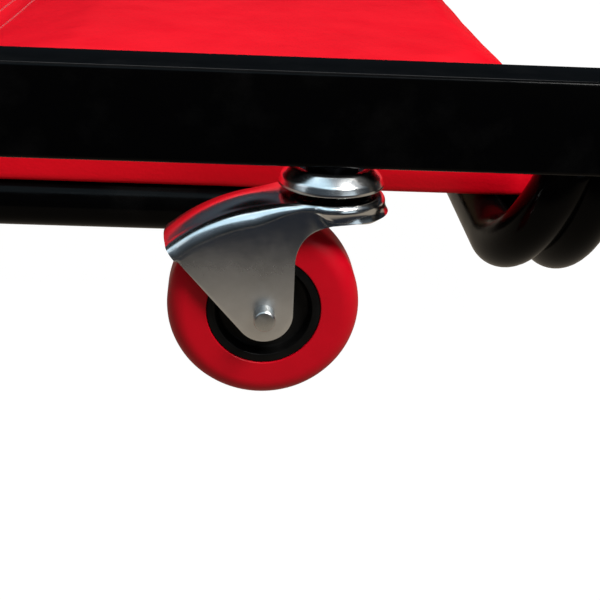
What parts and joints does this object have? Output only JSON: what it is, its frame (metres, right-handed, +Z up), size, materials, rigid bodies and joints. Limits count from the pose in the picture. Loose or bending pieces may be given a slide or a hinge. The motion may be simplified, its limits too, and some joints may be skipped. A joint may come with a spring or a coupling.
{
  "type": "mechanics creeper",
  "caption": "Low-slung wheeled board for lying under a vehicle: padded bed hung on bent-tube bows between raised side rails, on hooded swivel casters.",
  "frame": {"origin": "on the floor under the middle of the creeper", "axes": "+X along the length to the foot end, +Y across to the far rail, +Z up"},
  "size_m": [1.016, 0.5522, 0.116],
  "materials": {
    "frame_paint": "gloss",
    "plug_plastic": "satin",
    "zinc_hardware": "zinc plated, satin",
    "black_nut": "black oxide, satin",
    "bright_chrome": "bright plated",
    "bearing_steel": "polished, greased",
    "hub_plastic": "semi-gloss",
    "red_tyre": "satin polyurethane",
    "plywood": "raw plywood",
    "red_vinyl": "smooth upholstery vinyl"
  },
  "bodies": {
    "frame": {"rail_left": "frame_paint", "rail_right": "frame_paint", "rail_plugs": "plug_plastic", "weld_nuts": "zinc_hardware", "jam_nuts": "black_nut", "bow_foot_outer": "frame_paint", "bow_foot_inner": "frame_paint", "bow_mid_foot": "frame_paint", "bow_mid_head": "frame_paint", "bow_head_inner": "frame_paint", "bow_head_outer": "frame_paint", "hoop_foot": "frame_paint", "hoop_head": "frame_paint", "board": "plywood", "board_screws": "zinc_hardware", "main_pad": "red_vinyl", "head_pad": "red_vinyl", "stem_1": "zinc_hardware", "cap_1": "bright_chrome", "balls_1": "bearing_steel", "stem_2": "zinc_hardware", "cap_2": "bright_chrome", "balls_2": "bearing_steel", "stem_3": "zinc_hardware", "cap_3": "bright_chrome", "balls_3": "bearing_steel", "stem_4": "zinc_hardware", "cap_4": "bright_chrome", "balls_4": "bearing_steel", "stem_5": "zinc_hardware", "cap_5": "bright_chrome", "balls_5": "bearing_steel", "stem_6": "zinc_hardware", "cap_6": "bright_chrome", "balls_6": "bearing_steel"},
    "caster_1": {"fork_1": "bright_chrome", "axle_1": "zinc_hardware"},
    "wheel_1": {"hub_1": "hub_plastic", "tyre_1": "red_tyre"},
    "caster_2": {"fork_2": "bright_chrome", "axle_2": "zinc_hardware"},
    "wheel_2": {"hub_2": "hub_plastic", "tyre_2": "red_tyre"},
    "caster_3": {"fork_3": "bright_chrome", "axle_3": "zinc_hardware"},
    "wheel_3": {"hub_3": "hub_plastic", "tyre_3": "red_tyre"},
    "caster_4": {"fork_4": "bright_chrome", "axle_4": "zinc_hardware"},
    "wheel_4": {"hub_4": "hub_plastic", "tyre_4": "red_tyre"},
    "caster_5": {"fork_5": "bright_chrome", "axle_5": "zinc_hardware"},
    "wheel_5": {"hub_5": "hub_plastic", "tyre_5": "red_tyre"},
    "caster_6": {"fork_6": "bright_chrome", "axle_6": "zinc_hardware"},
    "wheel_6": {"hub_6": "hub_plastic", "tyre_6": "red_tyre"}
  },
  "joints": [
    {"name": "swivel_1", "type": "hinge", "parent": "frame", "child": "caster_1", "pos_m": [-0.388, -0.254, 0.0705], "axis": [0, 0, 1], "continuous": true},
    {"name": "roll_1", "type": "hinge", "parent": "caster_1", "child": "wheel_1", "pos_m": [-0.40899, -0.25473, 0.03175], "axis": [-0.0349, 0.9994, 0], "continuous": true},
    {"name": "swivel_2", "type": "hinge", "parent": "frame", "child": "caster_2", "pos_m": [0, -0.254, 0.0705], "axis": [0, 0, 1], "continuous": true},
    {"name": "roll_2", "type": "hinge", "parent": "caster_2", "child": "wheel_2", "pos_m": [-0.02099, -0.25473, 0.03175], "axis": [-0.0349, 0.9994, 0], "continuous": true},
    {"name": "swivel_3", "type": "hinge", "parent": "frame", "child": "caster_3", "pos_m": [0.388, -0.254, 0.0705], "axis": [0, 0, 1], "continuous": true},
    {"name": "roll_3", "type": "hinge", "parent": "caster_3", "child": "wheel_3", "pos_m": [0.36701, -0.25473, 0.03175], "axis": [-0.0349, 0.9994, 0], "continuous": true},
    {"name": "swivel_4", "type": "hinge", "parent": "frame", "child": "caster_4", "pos_m": [-0.388, 0.254, 0.0705], "axis": [0, 0, 1], "continuous": true},
    {"name": "roll_4", "type": "hinge", "parent": "caster_4", "child": "wheel_4", "pos_m": [-0.40899, 0.25473, 0.03175], "axis": [0.0349, 0.9994, 0], "continuous": true},
    {"name": "swivel_5", "type": "hinge", "parent": "frame", "child": "caster_5", "pos_m": [0, 0.254, 0.0705], "axis": [0, 0, 1], "continuous": true},
    {"name": "roll_5", "type": "hinge", "parent": "caster_5", "child": "wheel_5", "pos_m": [-0.02099, 0.25473, 0.03175], "axis": [0.0349, 0.9994, 0], "continuous": true},
    {"name": "swivel_6", "type": "hinge", "parent": "frame", "child": "caster_6", "pos_m": [0.388, 0.254, 0.0705], "axis": [0, 0, 1], "continuous": true},
    {"name": "roll_6", "type": "hinge", "parent": "caster_6", "child": "wheel_6", "pos_m": [0.36701, 0.25473, 0.03175], "axis": [0.0349, 0.9994, 0], "continuous": true}
  ]
}
